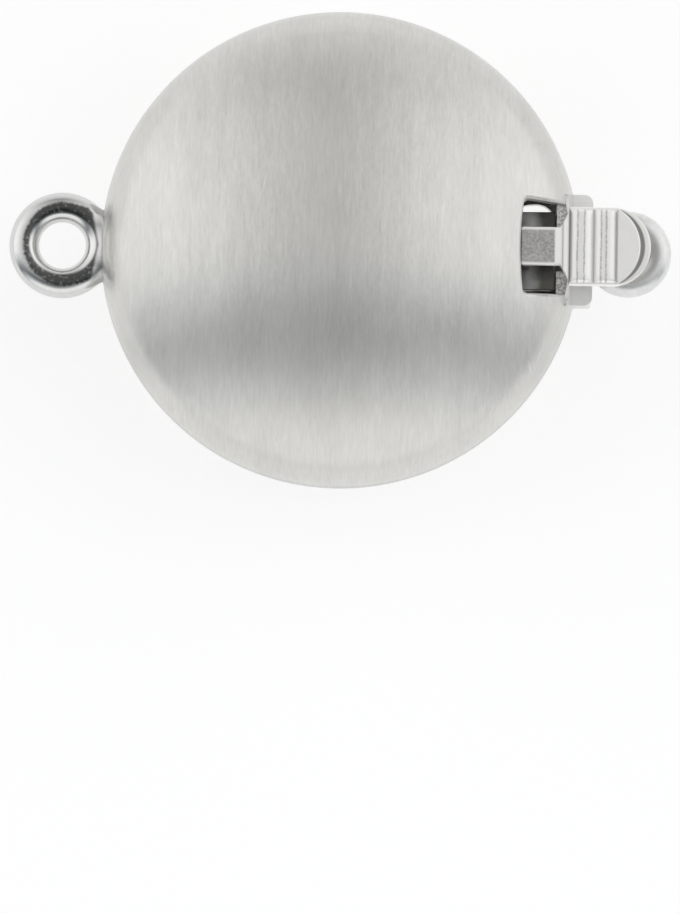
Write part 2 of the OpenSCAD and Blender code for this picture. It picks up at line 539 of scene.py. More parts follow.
def soft_prism(outline, low, high, soft, soft_low=None, steps=5):
    """Rings of a slab with round edges; soft_low is for those of its underside."""
    soft_low = soft if soft_low is None else soft_low
    outline = without_doubles(outline)
    normal = outward(outline)
    rings = []

    def ring(inset, z):
        flat = outline - normal * inset
        rings.append(np.column_stack([flat, np.full(len(flat), z)]))

    turns = np.radians(np.linspace(0, 90, steps + 1))
    for t in turns if soft_low > 0 else [math.pi / 2]:
        ring(soft_low * (1 - math.sin(t)), low + soft_low * (1 - math.cos(t)))
    for t in turns:
        ring(soft * (1 - math.cos(t)), high - soft * (1 - math.sin(t)))
    return rings


class Oval:
    """The flattened ball's profile: crown arcs that run into a round rim."""

    def __init__(self, half_w, half_t, rim):
        self.rim, self.rim_x = rim, half_w - rim
        self.crown = (half_w ** 2 - 2 * half_w * rim + half_t ** 2) / (2 * (half_t - rim))
        self.drop = half_t - self.crown
        self.join = self.crown * self.rim_x / (self.crown - rim)

    def height(self, rho):
        """Height of the surface over the middle plane at a distance rho."""
        rho = np.asarray(rho, float)
        on_crown = np.sqrt(np.maximum(self.crown ** 2 - rho ** 2, 0)) + self.drop
        on_rim = np.sqrt(np.maximum(self.rim ** 2 - (rho - self.rim_x) ** 2, 0))
        return np.where(rho < self.join, on_crown, on_rim)

    def normal(self, points):
        """Outward normals at points on or near the surface, and distances."""
        points = np.asarray(points, float)
        rho = np.hypot(points[:, 0], points[:, 1])
        side = np.where(points[:, 2] < 0, -1.0, 1.0)
        z = np.abs(points[:, 2])
        on_crown = rho * (self.crown - self.rim) < self.rim_x * (z - self.drop)
        n_rho = np.where(on_crown, rho, rho - self.rim_x)
        n_z = np.where(on_crown, z - self.drop, z)
        size = np.hypot(n_rho, n_z)
        away = size - np.where(on_crown, self.crown, self.rim)
        n_rho, n_z = n_rho / size, n_z / size * side
        rho = np.maximum(rho, 1e-9)
        return np.column_stack([n_rho * points[:, 0] / rho,
                                n_rho * points[:, 1] / rho, n_z]), away

    def ball(self, turns=288, crown_steps=44, rim_steps=26):
        """The closed ball as points and faces."""
        split = math.degrees(math.atan2(self.rim_x, -self.drop))
        crown_turn = np.radians(np.linspace(0, split, crown_steps + 1))[:-1]
        rim_turn = np.radians(np.linspace(split, 90, rim_steps + 1))
        rho = np.concatenate([self.crown * np.sin(crown_turn),
                              self.rim_x + self.rim * np.sin(rim_turn)])
        z = np.concatenate([self.crown * np.cos(crown_turn) + self.drop,
                            self.rim * np.cos(rim_turn)])
        rho, z = np.append(rho, rho[-2::-1]), np.append(z, -z[-2::-1])
        around = np.linspace(0, 2 * math.pi, turns, endpoint=False)
        rings = [np.column_stack([r * np.cos(around), r * np.sin(around),
                                  np.full(turns, h)]) for r, h in zip(rho, z)]
        return rings_mesh(rings, closed=False)


def box_cutter(name, x0, x1, low_width, high_width, z0, z1):
    """A block whose sides lean from one width at z0 to another at z1."""
    corners = [(x, side * w / 2, z) for x in (x0, x1) for side in (-1, 1)
               for z, w in ((z0, low_width), (z1, high_width))]
    faces = [(0, 1, 3, 2), (4, 6, 7, 5), (0, 4, 5, 1), (2, 3, 7, 6),
             (0, 2, 6, 4), (1, 5, 7, 3)]
    return shape(name, corners, faces)


def well_cutter(name, outline, oval, side, soft, softer=0.0):
    """A cutter through one dome whose mouth flares into a soft edge.

    The edges that run along X are softer still.
    """
    outline = without_doubles(outline)
    normal = outward(outline)
    soft = soft + softer * np.clip(np.abs(normal[:, 1]), 0, 1) ** 2
    rings = [np.column_stack([outline, np.zeros(len(outline))])]
    for t in np.radians([0, 20, 40, 60, 80]):
        flat = outline + normal * (soft * (1 - math.cos(t)))[:, None]
        top = oval.height(np.hypot(*flat.T)) - soft * (1 - math.sin(t))
        rings.append(np.column_stack([flat, side * top]))
    flat = outline + normal * soft[:, None]
    rings.append(np.column_stack([flat, side * (oval.height(np.hypot(*flat.T)) + 0.01)]))
    rings.append(np.column_stack([flat, np.full(len(flat), side * (MID_Z + 1))]))
    return shape(name, *rings_mesh(rings))


def cut(piece, *cutters):
    """Cuts the shapes out of a piece, exactly, and drops them."""
    for shape in cutters:
        mod = piece.modifiers.new(shape.name, "BOOLEAN")
        mod.operation, mod.solver, mod.object = "DIFFERENCE", "EXACT", shape
    graph = bpy.context.evaluated_depsgraph_get()
    mesh = bpy.data.meshes.new_from_object(piece.evaluated_get(graph))
    piece.modifiers.clear()
    piece.data = mesh
    for shape in cutters:
        bpy.data.objects.remove(shape)


def slab(name, rings):
    """A piece from rings, whose flat faces stay flat beside soft edges."""
    piece = shape(name, *rings_mesh(rings))
    weigh_normals(piece.data)
    return piece


def finish_piece(piece, body, slot, maker, *nodes):
    """Gives a piece its material, its body, its slot and what it replaces."""
    piece.data.materials.clear()
    piece.data.materials.append(shared(maker))
    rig.ride(piece, body)
    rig.slot(piece, slot)
    if nodes:
        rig.replaces(piece, *nodes)


def bevelled_copy(name, node, width, segments=3, share=None):
    """A CAD node's shape with softened edges.

    share, if given, says how much of the width an edge gets from the two
    points at its ends, in millimetres over the middle plane.
    """
    mesh = frame["nodes"][node].data.copy()
    mesh.name = name
    bm = bmesh.new()
    bm.from_mesh(mesh)
    bmesh.ops.remove_doubles(bm, verts=bm.verts, dist=1e-6)
    bmesh.ops.dissolve_limit(bm, angle_limit=math.radians(1), verts=bm.verts, edges=bm.edges)
    weight = bm.edges.layers.float.new("bevel_weight_edge")
    for edge in bm.edges:
        if len(edge.link_faces) == 2 and edge.calc_face_angle() > math.radians(35):
            ends = [np.array(v.co) / MM - (0, 0, MID_Z) for v in edge.verts]
            edge[weight] = share(*ends) if share else 1.0
    bm.to_mesh(mesh)
    bm.free()
    if "custom_normal" in mesh.attributes:
        mesh.attributes.remove(mesh.attributes["custom_normal"])
    piece = link(name, mesh)
    mod = piece.modifiers.new("Soft edges", "BEVEL")
    mod.width, mod.segments, mod.limit_method = width * MM, segments, "WEIGHT"
    graph = bpy.context.evaluated_depsgraph_get()
    soft = bpy.data.meshes.new_from_object(piece.evaluated_get(graph))
    piece.modifiers.clear()
    piece.data = soft
    soft.shade_smooth()
    weigh_normals(soft)
    return piece


# ---------------------------------------------------------------- materials

# Painted dark tones that stand for light and shade: painted shade on the rim, in corners and grooves, and painted dark
# reflections along the rings and the ribs
PAINTED_DARK_GREY = (0.1, 0.1, 0.1, 1.0)
PAINTED_REFLECTION_BLACK = (0.03, 0.03, 0.029, 1.0)
PAINTED_DARK_WARM = (0.08, 0.078, 0.07, 1.0)
WHITE = (1.0, 1.0, 1.0, 1.0)


def new_material(name):
    """A material, its tree and object coordinates in millimetres."""
    material = bpy.data.materials.new(name)
    material.use_nodes = True
    tree = Tree(material.node_tree)
    place = tree.add("ShaderNodeTexCoord").outputs["Object"]
    return material, tree, tree.vector("MULTIPLY", place, (1 / MM,) * 3)


def metal_output(tree, **sockets):
    """The shader, with its sockets fed, and the material's output."""
    shader = tree.add("ShaderNodeBsdfPrincipled", None, **sockets)
    tree.add("ShaderNodeOutputMaterial", None, shader)


def bump(tree, height, depth=0.03, strength=0.15):
    """A normal from a height whose full range is depth, in millimetres."""
    return tree.add("ShaderNodeBump", None, Strength=strength, Distance=depth * MM,
                    Height=height)


def stretched(tree, place, x, y, z):
    """Place divided by the grain's length along each axis."""
    return tree.vector("MULTIPLY", place, (1 / x, 1 / y, 1 / z))


def scratch(tree, x, y, start, end, width=0.02):
    """A thin straight mark in plan from start to end: 1 on it, 0 off it."""
    (x0, y0), (x1, y1) = start, end
    span = math.hypot(x1 - x0, y1 - y0)
    ux, uy = (x1 - x0) / span, (y1 - y0) / span
    along = (x - x0) * ux + (y - y0) * uy
    across = (x - x0) * -uy + (y - y0) * ux
    return across.band(0.0, width, width) * along.band(span / 2, span / 2, span * 0.4)


def brushed_silver(finish):
    """Satin silver with fine brush lines across the clasp, along Y."""
    material, tree, place = new_material("clasp_brushed_silver")
    x, y, z = tree.split(place)
    height = z - MID_Z
    normal = tree.add("ShaderNodeNewGeometry").outputs["Normal"]
    side = abs(tree.split(normal)[0]).rise(0.66, 0.12)

    # X tells the brush lines apart on the domes, and Z on the sides
    def lines(width, long, detail):
        on_dome = tree.noise(stretched(tree, place, width, long, long), 1.0, detail, 0.6)
        on_side = tree.noise(stretched(tree, place, long, long, width), 1.0, detail, 0.6)
        return on_dome + (on_side - on_dome) * side

    fine, line = lines(0.058, 0.22, 1.0), lines(0.16, 1.8, 2.0)
    # The tone has lines of its own, so that it never cancels the tilt out
    grain = lines(0.08, 0.6, 2.0)
    wide = tree.noise(stretched(tree, place, 0.7, 5.0, 5.0), 1.0)
    cloud = tree.noise(place, 0.35)
    tilt = (fine.sway(0.5) + line.sway(0.5)) * finish.brush
    turned = tree.vector("ADD", normal, tree.join(tilt * (1.0 - side), 0.0, tilt * side))

    # A few deeper scratches, on the front dome only
    marks = scratch(tree, x, y, (5.75, -2.6), (6.2, -4.9))
    for start, end in (((5.95, -4.3), (6.35, -3.1)), ((4.7, -5.3), (5.1, -4.5)),
                       ((-2.6, 0.9), (-2.2, 2.4)), ((1.5, 3.2), (1.62, 4.9))):
        marks = marks.max(scratch(tree, x, y, start, end, 0.014))
    marks = marks * height.rise(0.9, 0.4)

    # Painted shade darkens the rim a little, more towards +Y and about y = -3.5, and the domes meet in a thin line of
    # solder within a broader band of painted shade
    rim = tree.reach(x, y).rise(6.6, 0.7)
    seam_and_painted_shade = abs(height).fall(0.42, 0.2) * 0.34 + abs(height).fall(0.05, 0.03) * 0.3
    base = finish.case_colour
    tone = (grain.sway(1.15) + wide.sway(0.7) + cloud.sway(0.5) + 0.5).clamp()
    painted_dark = 0.02 + y.rise(0.0, 5.0) * 0.08 + y.band(-3.5, 0.6, 2.4) * 0.16
    skin = tree.shade(tone, base, 0.88, 1.10)
    skin = tree.blend(rim * painted_dark, skin, PAINTED_DARK_GREY)
    skin = tree.blend(seam_and_painted_shade, skin, rgba(base, 0.5))
    skin = tree.blend(marks * 0.3, skin, (0.93, 0.93, 0.93, 1.0))
    rough = finish.case_rough + line.sway(0.08) + cloud.sway(0.08) - marks * 0.08
    metal_output(tree, Base_Color=skin, Metallic=finish.case_metal, Roughness=rough,
                 Normal=tree.vector("NORMALIZE", turned))
    return material


def wire(finish, name, gain, rough, metal, crest=0.0):
    """Tumbled silver wire with a soft uneven polish.

    crest says how dark the painted reflection is that lies along the eye
    ring's crest. At 0 the wire is the tongue ring's.
    """
    material, tree, place = new_material(name)
    x, y, z = tree.split(place)
    cloud = tree.noise(place, 1.6, 3.0, 0.55)
    speck = tree.noise(place, 9.0, 2.0, 0.6)
    spread = 0.08 if crest else 0.16
    skin = tree.shade((cloud * 0.6 + speck * 0.4).contrast(1.6), finish.wire_colour,
                      gain * (1 - spread), gain * (1 + spread))
    if crest:
        # The painted dark reflection lies on the wire's top and under side, just inside the middle line.
        # off is counted from there in wire radii, and solder keeps it clear
        x = x - EYE_X
        reach = tree.reach(x, y)
        off = (reach - EYE_R) / EYE_WIRE_R + 0.127 - x / reach * 0.04
        streak = tree.noise(tree.join(y.atan2(x) * 14.0, reach * 2.0, z * 2.0), 1.0, 2.0, 0.6)
        ragged = (speck.sway(0.12) + cloud.sway(0.1) + streak.sway(0.3)
                  + (x / reach).rise(0.2, 0.5) * 0.25)
        half = 0.19 + (y / reach) ** 2.0 * 0.18 + off.rise(0.0, 0.15) * ragged
        solder = (x + abs(y) * 0.2).rise(1.08, 0.12)
        # Specks break up the painted dark reflection
        painted_reflection_share = 1.0 - speck.rise(0.56, 0.1) * 0.3
        skin = tree.blend(off.band(0.0, half, 0.2) * (1.0 - solder) * painted_reflection_share * crest, skin, PAINTED_REFLECTION_BLACK)
    else:
        # A painted dark reflection, a line of uneven width, runs round the upper inner side
        reach = tree.reach(x - TONGUE_X, y)
        painted_dark = reach.band(0.89, 0.05 + cloud * 0.1, 0.16) * z.rise(MID_Z, 0.1)
        skin = tree.blend(painted_dark * 0.3, skin, PAINTED_DARK_GREY)
    rough = rough + cloud.sway(0.12) + speck.sway(0.06)
    metal_output(tree, Base_Color=skin, Metallic=metal, Roughness=rough,
                 Normal=bump(tree, cloud * 0.7 + speck * 0.3, depth=0.02))
    return material


def polished_silver(finish):
    """The eye ring's mirror polish, with a painted dark reflection along its crest."""
    return wire(finish, "clasp_polished_silver", 1.05, finish.wire_rough, 1.0, 0.88)


def satin_wire(finish):
    """The tongue ring's softer polish."""
    return wire(finish, "clasp_satin_wire", 1.22, finish.satin_rough, 0.6)


def satin_silver(finish):
    """The sleeve's softly rubbed silver, with painted shade."""
    material, tree, place = new_material("clasp_satin_silver")
    x, y, _ = tree.split(place)
    cloud = tree.noise(place, 2.2, 3.0, 0.6)
    line = tree.noise(stretched(tree, place, 1.2, 0.06, 0.5), 1.0, 2.0, 0.6)
    speck = tree.noise(place, 13.0, 2.0, 0.6)
    skin = tree.shade((cloud * 0.6 + line * 0.4).contrast(1.8), finish.tab_colour, 0.88, 1.05)
    # Painted shade darkens it along the case, and outside the case on its lower half
    painted_dark = x.band(7.22, 0.03, 0.16) * 0.14 + y.fall(0.6, 1.2) * x.rise(7.1, 0.2) * 0.13
    skin = tree.blend(painted_dark, skin, PAINTED_DARK_GREY)
    # Inside the window the sleeve's front edge is tarnished in specks
    inside = x.fall(7.1, 0.06)
    skin = tree.blend(inside * speck.rise(0.36, 0.3) * 0.6, skin, (0.1, 0.1, 0.09, 1.0))
    rough = 0.48 + cloud.sway(0.2) - inside * 0.06
    metal_output(tree, Base_Color=skin, Metallic=0.4, Roughness=rough,
                 Normal=bump(tree, cloud * 0.6 + line * 0.4))
    return material


def spring_silver(finish):
    """The leaves' plain strip, with painted shade that darkens it towards the sleeve."""
    material, tree, place = new_material("clasp_spring_silver")
    x, y, _ = tree.split(place)
    line = tree.noise(stretched(tree, place, 3.0, 0.07, 0.6), 1.0, 3.0, 0.6)
    cloud = tree.noise(place, 1.8, 3.0, 0.6)
    skin = tree.shade(line * 0.5 + cloud * 0.5, finish.strip_colour, 0.85, 1.12)
    # Painted shade darkens it towards the sleeve; the painted shade is lighter on the lower half
    dark = tree.blend(y.fall(0.5, 1.0), (0.088, 0.085, 0.075, 1.0), (0.15, 0.146, 0.128, 1.0))
    skin = tree.blend((x + cloud.sway(0.3)).rise(5.75, 0.6), skin, dark)
    metal_output(tree, Base_Color=skin, Metallic=0.85, Roughness=0.36 + cloud.sway(0.3),
                 Normal=bump(tree, line))
    return material


def tab_silver(finish):
    """The thumb tab: satin ribs, a mottled foot, painted shade in the grooves."""
    material, tree, place = new_material("clasp_tab_silver")
    x, y, z = tree.split(place)
    cloud = tree.noise(place, 2.4, 3.0, 0.6)
    speck = tree.noise(place, 16.0, 2.0, 0.6)
    mottle = tree.noise(place, 12.0)
    base = finish.tab_colour
    mottled = tree.shade((mottle * 0.6 + speck * 0.4).contrast(4.0), base, 0.39, 0.60)
    foot = x.fall(6.70, 0.05) * abs(y).fall(0.53, 0.05)
    skin = tree.blend(foot, tree.shade(cloud, base, 0.96, 1.04), mottled)

    # Two faint painted dark reflections run along the crest of each rib, and painted shade along the foot's bend
    ribs = abs(y).fall(1.17, 0.05)
    wavy = x + cloud.sway(0.07)
    painted_reflection_share = wavy.band(7.375, 0.02, 0.06)
    for crest_x in (7.59, 8.115, 8.275):
        painted_reflection_share = painted_reflection_share.max(wavy.band(crest_x, 0.02, 0.06))
    painted_reflection_share = painted_reflection_share * (0.6 + mottle.rise(0.35, 0.3) * 0.5)
    bend = x.band(6.92, 0.015, 0.06)
    skin = tree.blend(painted_reflection_share * ribs * 0.58 + bend * 0.55, skin, PAINTED_DARK_WARM)

    # Painted shade fills the groove on either side of the ribs and the one between
    groove = (x.band(7.13, 0.04, 0.05).max(x.band(7.885, 0.03, 0.06))
              .max(x.band(8.625, 0.025, 0.05) * 0.6))
    skin = tree.blend(groove * ribs * 0.5, skin, PAINTED_DARK_WARM)

    # Painted shade lies in the step down from the raised end too: a crescent, widest at its tip, and a little along
    # the sheet's round end
    step = (tree.reach(x - (BOSS_END - BOSS_R), y).rise(BOSS_R - 0.03, 0.07)
            * tree.reach(x - 8.245, y).fall(1.265, 0.05) * x.rise(8.66, 0.05))
    edge = tree.reach(x - (PAD_END - PAD_R), y).rise(1.13, 0.06) * x.rise(8.66, 0.1)
    skin = tree.blend(step * 0.74 + edge * 0.14, skin, PAINTED_DARK_WARM)

    # Painted shade darkens the post's foot too, down by the leaf
    deep = z.fall(1.9 + MID_Z, 0.3) * x.fall(6.5, 0.2)
    skin = tree.blend(deep * 0.8, skin, PAINTED_DARK_WARM)
    rough = 0.5 - foot * 0.1 + cloud.sway(0.15) + speck.sway(0.08)
    metal_output(tree, Base_Color=skin, Metallic=0.68, Roughness=rough,
                 Normal=bump(tree, cloud * 0.5 + speck * 0.5, strength=0.12))
    return material


def shared(maker):
    """The maker's material, which is made once and then shared."""
    found = bpy.data.materials.get(f"clasp_{maker.__name__}")
    return found or maker(bpy.context.scene.clasp_finish)


# ------------------------------------------------------------------- pieces


def window_outline(end=7.07, width=2.88, start=5.61, bow_r=10.0, r=0.15, lean=0.08):
    """The window in plan, anticlockwise: round corners, bowed inner edge.

    It is wider by lean at its inner end, and narrower at its outer one.
    """
    side = width / 2
    half = side - r
    near, far = start + bow_r - math.sqrt(bow_r ** 2 - half ** 2) + r, end - r
    y = np.linspace(half, -half, 40)
    outline = np.concatenate([
        np.column_stack([start + bow_r - np.sqrt(bow_r ** 2 - y ** 2), y]),
        arc(near, -half, r, 180, 270, 8)[1:], stretch((near, -side), (far, -side), 12),
        arc(far, -half, r, 270, 360, 8), stretch((end, -half), (end, half), 20),
        arc(far, half, r, 0, 90, 8), stretch((far, side), (near, side), 12),
        arc(near, half, r, 90, 180, 8)[:-1],
    ])
    share = (outline[:, 0] - (start + end) / 2) / (end - start)
    outline[:, 1] *= 1 - lean / side * share
    return outline


def round_outline(x0, x1, width, r, steps=10):
    """A rectangle in plan with four round corners, anticlockwise."""
    h = width / 2 - r
    return np.concatenate([
        arc(x1 - r, h, r, 0, 90, steps), arc(x0 + r, h, r, 90, 180, steps),
        arc(x0 + r, -h, r, 180, 270, steps), arc(x1 - r, -h, r, 270, 360, steps)])


def make_case(sizes):
    """The hollow case with its window, mouth and back opening."""
    rim, sheet = sizes.rim / MM, sizes.sheet / MM
    outer = Oval(CASE_R, MID_Z, rim)
    inner = Oval(CASE_R - sheet, MID_Z - sheet, rim - sheet)
    case = shape("case_shell", *outer.ball())
    cavity = shape("cavity", *inner.ball())
    edge = sizes.edge / MM
    window = well_cutter("window", window_outline(), outer, 1, edge, softer=0.07)
    hole = round_outline(x0=5.30, x1=6.72, width=3.40, r=0.62)
    back = well_cutter("back", hole, outer, -1, edge)
    mouth = box_cutter("mouth", x0=6.25, x1=9.0, low_width=3.28, high_width=3.52,
                       z0=-1.02, z1=1.02)
    slot = box_cutter("slot", x0=6.6, x1=9.0, low_width=1.36, high_width=1.36,
                      z0=0.0, z1=5.0)
    cut(case, cavity, window, back, mouth, slot)
    mesh = case.data
    mesh.shade_smooth()

    corners = np.empty(len(mesh.vertices) * 3)
    mesh.vertices.foreach_get("co", corners)
    corners = corners.reshape(-1, 3) / MM - (0, 0, MID_Z)
    shells = [(outer, 1.0, *outer.normal(corners)), (inner, -1.0, *inner.normal(corners))]
    known = {}
    for face in mesh.polygons:
        ids = list(face.vertices)
        for _, sign, normals, away in shells:
            on_it = np.all(np.abs(away[ids]) < 0.002)
            if on_it and np.dot(normals[ids].mean(axis=0) * sign, face.normal) > 0.97:
                known[face.index] = (normals[ids] * sign).tolist()
                break
    weigh_normals(mesh, known=known)
    return case


def wire_ring(name, x, mean_r, wire_r, neighbour, flow, turns=192, steps=48):
    """A ring of round wire that swells with solder towards its neighbour.

    neighbour gives the distance of points from that piece, and flow how far
    from it the solder begins.
    """
    u = np.linspace(0, 2 * math.pi, turns, endpoint=False)[:, None]
    v = np.linspace(0, 2 * math.pi, steps, endpoint=False)[None, :]
    centre = np.stack([x + mean_r * np.cos(u) + 0 * v, mean_r * np.sin(u) + 0 * v,
                       0 * u + 0 * v], axis=-1)
    way = np.stack([np.cos(u) * np.cos(v), np.sin(u) * np.cos(v), 0 * u + np.sin(v)], axis=-1)
    near = np.clip(1 - neighbour(centre + way * wire_r) / flow, 0, 1)
    places = centre + way * (wire_r + flow / 4 * near ** 2)[..., None]
    verts = places.reshape(-1, 3)
    faces = []
    for i in range(turns):
        for j in range(steps):
            a, b = i * steps + j, i * steps + (j + 1) % steps
            c = ((i + 1) % turns) * steps
            faces.append((a, b, c + (j + 1) % steps, c + j))
    return shape(name, verts, faces)


def box_distance(points, low, high):
    """Distance of points from a box's surface, less than 0 inside."""
    middle, half = np.add(low, high) / 2, np.subtract(high, low) / 2
    q = np.abs(points - middle) - half
    return np.linalg.norm(np.maximum(q, 0), axis=-1) + np.minimum(q.max(axis=-1), 0)


def on_leaf(s, off):
    """A point s along the spring leaf and off square to it."""
    return np.array([FOLD_X + s * math.cos(LEAF_RISE) - off * math.sin(LEAF_RISE),
                     FOLD_Z + s * math.sin(LEAF_RISE) + off * math.cos(LEAF_RISE)])


def strip_stations(t):
    """Upper and under side and half width of the tab's bent strip.

    seat is the strip's height over the leaf's line, and inside and heel are
    the radii of the bend up from the leaf, over it and under it.
    """
    base = (POST_X - FOLD_X) / math.cos(LEAF_RISE)
    seat, inside, heel = 0.37, 0.09, 0.42
    over, under, half = [], [], []

    def station(top, low, w=0.6):
        over.append(top)
        under.append(low)
        half.append(w)

    for s in (base - 0.6, base - 0.3, base - 0.12):
        station(on_leaf(s, seat + t), on_leaf(s, seat))
    corner_over = on_leaf(base, seat + t)[1] + 0.05
    low_z = on_leaf(base + t, seat)[1]
    for share in np.linspace(0, 1, 6)[1:]:
        a = share * math.pi / 2
        station((POST_X - inside * (1 - math.sin(a)), corner_over + 0.04 - inside * math.cos(a)),
                (POST_X + t - heel * (1 - math.sin(a)), low_z + 0.1 * (1 - math.cos(a))))
    inner_z = STRIP_TOP - t
    for z in np.linspace(corner_over + 0.1, inner_z, 5):
        station((POST_X, z), (POST_X + t, max(z, low_z + 0.12)))
    for px, pz in arc(POST_X + 0.04, STRIP_TOP - 0.04, 0.04, 180, 90, 6):
        station((px, pz), (POST_X + t, inner_z))
    station((POST_X + t, STRIP_TOP), (POST_X + t, inner_z))
    # The strip, the ramp up to the pad and the narrow bead at its inner edge
    profile = [(6.3, 0), (6.55, 0), (6.65, 0), (6.69, 0.008), (6.74, 0.03), (6.80, 0.062),
               (6.85, 0.083), (6.89, 0.092), (6.925, 0.094), (6.96, 0.096),
               (6.99, 0.108), (7.02, 0.13), (7.05, 0.148), (7.075, 0.153), (7.095, 0.145),
               (7.115, 0.118), (7.13, 0.075), (7.14, 0.03)]
    for x, rise in profile:
        w = 0.6 + 0.55 * min(max((x - 6.84) / 0.28, 0), 1)
        station((x, STRIP_TOP + rise), (x, STRIP_TOP + min(rise, 0.09) - t), w)
    return np.array(over), np.array(under), np.array(half)


def strip_rings(t, edge=0.1, under_edge=0.05):
    """Rings round the strip, with broad soft upper edges."""
    rings = []
    quarter = np.radians(np.linspace(0, 90, 6))
    for top, low, w in zip(*strip_stations(t)):
        deep = np.linalg.norm(top - low)
        section = [(w - edge * (1 - math.sin(a)), edge * (1 - math.cos(a)) * 0.8)
                   for a in quarter]
        section += [(w - under_edge * (1 - math.cos(a)), deep - under_edge * (1 - math.sin(a)))
                    for a in quarter]
        section += [(-y, d) for y, d in reversed(section)]
        down = (low - top) / deep
        rings.append(np.array([(top[0] + down[0] * d, y, top[1] + down[1] * d)
                               for y, d in section]))
    return rings


def round_ended(x0, end, width, r, steps=40):
    """A strip in plan from x0 to a round end, anticlockwise."""
    half, cx = width / 2, end - r
    a = math.degrees(math.asin(min(half / r, 1)))
    straight = max(cx + r * math.cos(math.radians(a)), x0)
    return np.concatenate([
        stretch((x0, half), (x0, -half), 12), [(x0, -half)],
        stretch((x0, -half), (straight, -half), 12), arc(cx, 0, r, -a, a, steps),
        stretch((straight, half), (x0, half), 12), [(x0, half)]])


def build_rib_tree():
    """Geometry nodes: a row of half-round ribs across the tab."""
    group = bpy.data.node_groups.new("Clasp Ribs", "GeometryNodeTree")
    face = group.interface
    face.new_socket("Geometry", in_out="OUTPUT", socket_type="NodeSocketGeometry")
    for name, kind in (("Count", "Int"), ("Pitch", "Float"), ("Width", "Float"),
                       ("Height", "Float"), ("Length", "Float"), ("Start", "Float"),
                       ("Base", "Float"), ("Sink", "Float"), ("Finish", "Material")):
        face.new_socket(name, in_out="INPUT", socket_type=f"NodeSocket{kind}")
    tree = Tree(group, clear=False)
    given = tree.add("NodeGroupInput")
    value = {out.name: tree.num(out) for out in given.outputs if out.name}

    grid = tree.add("GeometryNodeMeshGrid", None, Size_X=2.0, Size_Y=2.0,
                    Vertices_X=33, Vertices_Y=73)
    u, v, _ = tree.split(tree.add("GeometryNodeInputPosition"))
    # A rib is nearly half-round across, and stays high almost to its ends
    across = (u * (math.pi / 2)).sin()
    along = (v * (math.pi / 2)).sin()
    round_side = (1.0 - abs(across) ** 2.3).max(0.0) ** 0.62
    round_end = (1.0 - abs(along) ** 26.0).max(0.0) ** 0.5
    rise = round_side * round_end * (value["Height"] + value["Sink"]) - value["Sink"]
    px, py = across * value["Width"] / 2.0, along * value["Length"] / 2.0
    top = tree.add("GeometryNodeSetPosition", None, Geometry=grid,
                   Position=tree.join(px, py, rise))
    flat = tree.add("GeometryNodeSetPosition", None, Geometry=grid,
                    Position=tree.join(px, py, -value["Sink"]))
    under = tree.add("GeometryNodeFlipFaces", None, flat)
    both = tree.add("GeometryNodeJoinGeometry", None, top)
    tree.links.new(under.outputs[0], both.inputs[0])
    rib = tree.add("GeometryNodeMergeByDistance", None, both, Distance=1e-7)
    row = tree.add("GeometryNodeMeshLine", None, Count=value["Count"],
                   Start_Location=tree.join(value["Start"], 0.0, value["Base"]),
                   Offset=tree.join(value["Pitch"], 0.0, 0.0))
    placed = tree.add("GeometryNodeInstanceOnPoints", None, Points=row, Instance=rib)
    real = tree.add("GeometryNodeRealizeInstances", None, placed)
    done = tree.add("GeometryNodeSetMaterial", None, real, Material=given.outputs["Finish"])
    tree.add("NodeGroupOutput", None, done)
    return group


class ClaspOperator:
    """What every operator of the clasp shares."""

    bl_options = {"REGISTER", "UNDO"}

    def done(self, *pieces):
        if not all(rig.alive(piece) for piece in pieces):
            raise RuntimeError(f"{self.bl_label} left a piece out")
        return {"FINISHED"}


class CLASP_OT_case(ClaspOperator, bpy.types.Operator):
    """Makes the brushed hollow case with its window, mouth and back opening"""

    bl_idname = "clasp.case"
    bl_label = "Case"

    def execute(self, context):
        case = make_case(context.scene.clasp_sizes)
        finish_piece(case, "case", "brushed_silver", brushed_silver, "case")
        return self.done(case)


class CLASP_OT_eye_ring(ClaspOperator, bpy.types.Operator):
    """Makes the polished eye ring and the solder that holds it to the rim"""

    bl_idname = "clasp.eye_ring"
    bl_label = "Eye ring"

    def execute(self, context):
        sizes = context.scene.clasp_sizes
        rim, rim_x = sizes.rim / MM, CASE_R - sizes.rim / MM

        def rim_distance(points):
            rho = np.hypot(points[..., 0], points[..., 1])
            return np.hypot(rho - rim_x, points[..., 2]) - rim

        ring = wire_ring("eye_ring", EYE_X, EYE_R, EYE_WIRE_R, rim_distance, sizes.solder / MM)
        finish_piece(ring, "case", "polished_silver", polished_silver, "case")
        return self.done(ring)


def sleeve_outline(front=3.48, back=3.24, half_h=1.0, r=SLEEVE_R, slot=0.70):
    """The sleeve's outside seen along X, as Y and height with its normals.

    It runs from one side of the slot in front round to the other side.
    """
    lean = math.degrees(math.atan2((front - back) / 2, 2 * half_h))
    top, low = front / 2, back / 2
    corners = [(top - r - 0.006, half_h - r, 90, -lean), (low - r, r - half_h, -lean, -90)]
    path = [(y, half_h, 0.0, 1.0) for y in np.linspace(slot, corners[0][0], 8)[:-1]]
    for cy, cz, start, end in corners:
        for a in np.radians(np.linspace(start, end, 7)):
            path.append((cy + r * math.cos(a), cz + r * math.sin(a), math.cos(a), math.sin(a)))
        if (cy, cz) == corners[0][:2]:
            first, last = path[-1], (corners[1][0] + r * math.cos(math.radians(-lean)),
                                     corners[1][1] + r * math.sin(math.radians(-lean)))
            for share in np.linspace(0, 1, 14)[1:-1]:
                path.append((first[0] + (last[0] - first[0]) * share,
                             first[1] + (last[1] - first[1]) * share, first[2], first[3]))
    path += [(y, -half_h, 0.0, -1.0) for y in np.linspace(corners[1][0], 0, 10)[1:]]
    return path + [(-y, z, -ny, nz) for y, z, ny, nz in path[-2::-1]]


